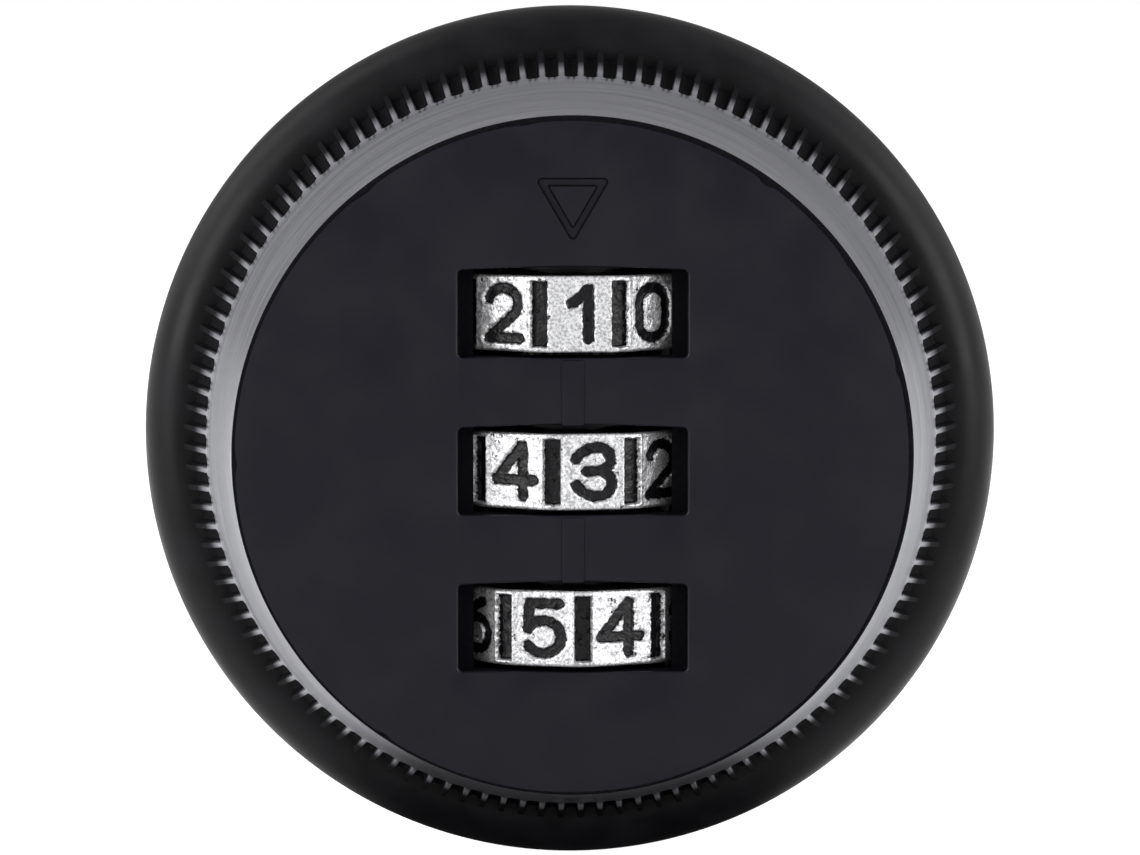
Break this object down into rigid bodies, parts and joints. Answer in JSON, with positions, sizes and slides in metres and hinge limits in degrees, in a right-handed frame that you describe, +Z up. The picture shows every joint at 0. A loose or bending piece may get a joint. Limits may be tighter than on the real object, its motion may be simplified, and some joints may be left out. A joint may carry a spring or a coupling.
{
  "type": "combination cam lock",
  "caption": "Keyless combination cam lock: round flanged head with a knurled knob, dials behind windows, and a threaded barrel that carries a cam.",
  "frame": {"origin": "centre of the barrel at the flange's back face, which lies on the panel", "axes": "+Z up, at the arrow's end of the face; +Y along the lock's axis into the cabinet, so the face looks along -Y; +X to the right"},
  "size_m": [0.04, 0.0431, 0.0415],
  "materials": {
    "black_cast_metal": "satin black on zinc casting",
    "black_satin_metal": "satin black on zinc casting",
    "chromed_dial": "bright chrome with black filled digits",
    "inner_cast_metal": "as cast zinc",
    "zinc_steel": "bright zinc plated",
    "spring_steel": "plain spring steel",
    "plastic_washer": "natural plastic"
  },
  "bodies": {
    "body": {"housing": "black_cast_metal", "mounting_nut": "zinc_steel", "lock_washer": "zinc_steel", "thrust_washer": "plastic_washer"},
    "knob": {"knob_cover": "black_satin_metal", "rotor": "inner_cast_metal", "cover_screws": "zinc_steel", "stop_washer": "zinc_steel", "cam": "zinc_steel", "cam_washer": "spring_steel", "cam_screw": "zinc_steel", "detent_spring_top": "spring_steel", "detent_spring_middle": "spring_steel", "detent_spring_bottom": "spring_steel", "clutch_spring": "spring_steel", "plate_spring_upper": "spring_steel", "plate_spring_lower": "spring_steel"},
    "top_dial": {"dial_top": "chromed_dial"},
    "middle_dial": {"dial_middle": "chromed_dial"},
    "bottom_dial": {"dial_bottom": "chromed_dial"},
    "top_sleeve": {"sleeve_top": "inner_cast_metal"},
    "middle_sleeve": {"sleeve_middle": "inner_cast_metal"},
    "bottom_sleeve": {"sleeve_bottom": "inner_cast_metal"},
    "spindle": {"spindle": "zinc_steel"},
    "locking_plate": {"locking_plate": "zinc_steel"}
  },
  "joints": [
    {"name": "knob_turn", "type": "hinge", "parent": "body", "child": "knob", "pos_m": [0, 0, 0], "axis": [0, 1, 0], "range_deg": [0, 90]},
    {"name": "top_dial_turn", "type": "hinge", "parent": "knob", "child": "top_dial", "pos_m": [0, -0.0094, 0.00643], "axis": [0, 0, 1], "continuous": true, "deforming": ["detent_spring_top"]},
    {"name": "middle_dial_turn", "type": "hinge", "parent": "knob", "child": "middle_dial", "pos_m": [0, -0.0094, -0.00065], "axis": [0, 0, 1], "continuous": true, "deforming": ["detent_spring_middle"]},
    {"name": "bottom_dial_turn", "type": "hinge", "parent": "knob", "child": "bottom_dial", "pos_m": [0, -0.0094, -0.00773], "axis": [0, 0, 1], "continuous": true, "deforming": ["detent_spring_bottom"]},
    {"name": "reset_press", "type": "slide", "parent": "knob", "child": "spindle", "axis": [0, 0, 1], "range_m": [0, 0.0011], "stiffness_N_per_m": 300, "springref_m": -0.0005, "deforming": ["clutch_spring"]},
    {"name": "top_sleeve_lift", "type": "slide", "parent": "top_dial", "child": "top_sleeve", "axis": [0, 0, 1], "range_m": [0, 0.0011]},
    {"name": "middle_sleeve_lift", "type": "slide", "parent": "middle_dial", "child": "middle_sleeve", "axis": [0, 0, 1], "range_m": [0, 0.0011]},
    {"name": "bottom_sleeve_lift", "type": "slide", "parent": "bottom_dial", "child": "bottom_sleeve", "axis": [0, 0, 1], "range_m": [0, 0.0011]},
    {"name": "locking_plate_lift", "type": "slide", "parent": "knob", "child": "locking_plate", "axis": [0, -1, 0], "range_m": [0, 0.000701], "deforming": ["plate_spring_upper", "plate_spring_lower"]}
  ],
  "couplings": [
    {"joint": "top_sleeve_lift", "follows": "reset_press", "ratio": 1},
    {"joint": "middle_sleeve_lift", "follows": "reset_press", "ratio": 1},
    {"joint": "bottom_sleeve_lift", "follows": "reset_press", "ratio": 1},
    {"joint": "locking_plate_lift", "follows": "knob_turn", "m_per_rad": 0.00044563}
  ]
}
